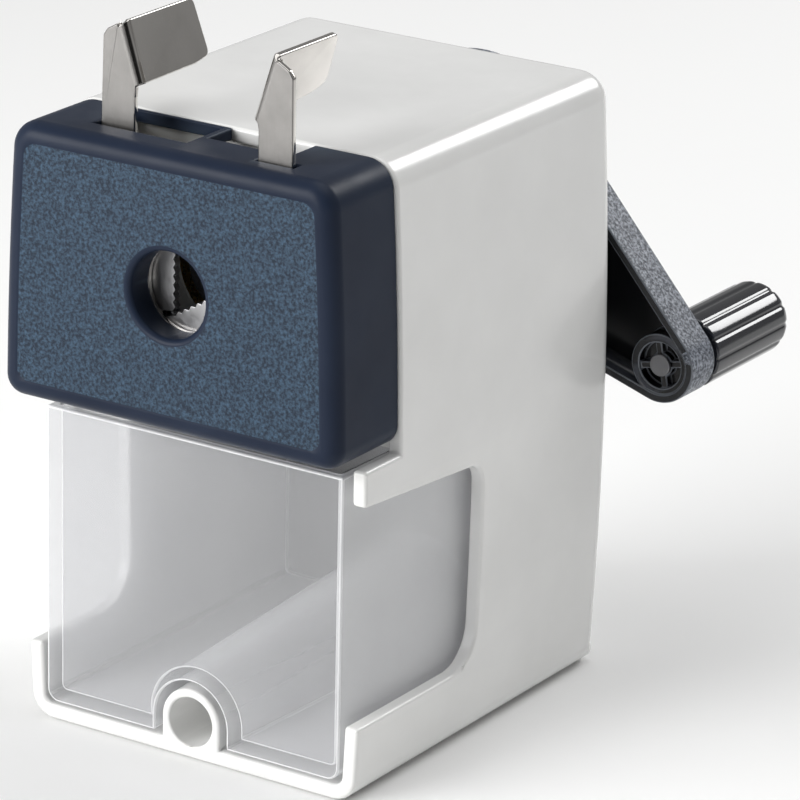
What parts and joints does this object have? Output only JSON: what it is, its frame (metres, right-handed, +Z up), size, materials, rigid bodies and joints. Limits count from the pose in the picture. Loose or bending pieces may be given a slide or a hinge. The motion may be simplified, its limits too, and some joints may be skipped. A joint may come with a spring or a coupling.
{
  "type": "pencil sharpener",
  "caption": "Hand-crank desk pencil sharpener with a clear shavings drawer, a spring-back front slide with gripping jaws and finger levers, and a rear crank with a fluted knob.",
  "frame": {"origin": "middle of the base, on the surface that the sharpener stands on", "axes": "+X to the right seen from the front, +Y from the front to the back, +Z up; the pencil goes in along +Y"},
  "size_m": [0.0922, 0.1365, 0.1396],
  "materials": {
    "housing_plastic": "smooth gloss",
    "inner_plastic": "smooth satin",
    "navy_plastic": "fine sparkle texture inside a smooth border",
    "clear_plastic": "clear and polished",
    "lever_steel": "polished nickel plate",
    "sheet_steel": "stamped sheet",
    "jaw_steel": "dark hardened steel",
    "pin_steel": "ground",
    "screw_steel": "zinc plated",
    "spring_steel": "drawn wire",
    "clip_steel": "blackened",
    "gear_steel": "machined",
    "cutter_steel": "ground hardened steel",
    "carrier_alloy": "die cast",
    "bush_brass": "turned",
    "crank_plastic": "fine grain outside, glossy inside",
    "knob_plastic": "polished"
  },
  "bodies": {
    "frame": {"housing": "housing_plastic", "bulkhead": "inner_plastic", "bulkhead_screws": "screw_steel", "front_bush": "bush_brass", "ring_gear": "gear_steel", "rear_bush": "bush_brass", "slide_spring_left": "spring_steel", "slide_spring_right": "spring_steel"},
    "drawer": {"drawer": "clear_plastic"},
    "slide": {"faceplate": "navy_plastic", "jaw_plate": "lever_steel", "jaw_pins": "pin_steel", "chuck_cover": "sheet_steel", "chuck_spacers": "pin_steel", "chuck_screws": "screw_steel", "ring_spring": "spring_steel", "guide_rod_left": "pin_steel", "guide_rod_right": "pin_steel", "rod_clips": "clip_steel"},
    "ring": {"jaw_ring": "lever_steel"},
    "left_jaw": {"jaw_left": "jaw_steel"},
    "upper_jaw": {"jaw_upper": "jaw_steel"},
    "lower_jaw": {"jaw_lower": "jaw_steel"},
    "crank": {"cutter_carrier": "carrier_alloy", "cutter_axle": "pin_steel", "drive_shaft": "pin_steel", "crank_arm": "crank_plastic", "crank_screw": "screw_steel", "knob_pin": "pin_steel", "knob_washer": "clip_steel"},
    "cutter": {"cutter_drum": "cutter_steel", "cutter_pinion": "gear_steel"},
    "grip": {"knob": "knob_plastic"}
  },
  "joints": [
    {"name": "drawer_slide", "type": "slide", "parent": "frame", "child": "drawer", "axis": [0, -1, 0], "range_m": [0, 0.075]},
    {"name": "faceplate_slide", "type": "slide", "parent": "frame", "child": "slide", "axis": [0, -1, 0], "range_m": [0, 0.035], "stiffness_N_per_m": 150, "springref_m": -0.03, "deforming": ["slide_spring_left", "slide_spring_right"]},
    {"name": "ring_turn", "type": "hinge", "parent": "slide", "child": "ring", "pos_m": [0, -0.0414, 0.093], "axis": [0, 1, 0], "range_deg": [0, 14], "stiffness_Nm_per_rad": 0.25, "springref_deg": -28.65, "deforming": ["ring_spring"]},
    {"name": "left_jaw_turn", "type": "hinge", "parent": "slide", "child": "left_jaw", "pos_m": [-0.00479, -0.043, 0.10616], "axis": [0, 1, 0], "range_deg": [0, 18.34]},
    {"name": "upper_jaw_turn", "type": "hinge", "parent": "slide", "child": "upper_jaw", "pos_m": [0.01379, -0.043, 0.09057], "axis": [0, 1, 0], "range_deg": [0, 18.34]},
    {"name": "lower_jaw_turn", "type": "hinge", "parent": "slide", "child": "lower_jaw", "pos_m": [-0.009, -0.043, 0.08228], "axis": [0, 1, 0], "range_deg": [0, 18.34]},
    {"name": "crank_turn", "type": "hinge", "parent": "frame", "child": "crank", "pos_m": [0, 0.03, 0.093], "axis": [0, 1, 0], "continuous": true},
    {"name": "cutter_spin", "type": "hinge", "parent": "crank", "child": "cutter", "pos_m": [0, -0.0223, 0.079], "axis": [0, 0.9816, 0.1908], "continuous": true},
    {"name": "knob_spin", "type": "hinge", "parent": "crank", "child": "grip", "pos_m": [0.04655, 0.07, 0.06242], "axis": [0, 1, 0], "continuous": true}
  ],
  "couplings": [
    {"joint": "left_jaw_turn", "follows": "ring_turn", "ratio": 1.31},
    {"joint": "upper_jaw_turn", "follows": "ring_turn", "ratio": 1.31},
    {"joint": "lower_jaw_turn", "follows": "ring_turn", "ratio": 1.31},
    {"joint": "cutter_spin", "follows": "crank_turn", "ratio": -3.3333}
  ]
}
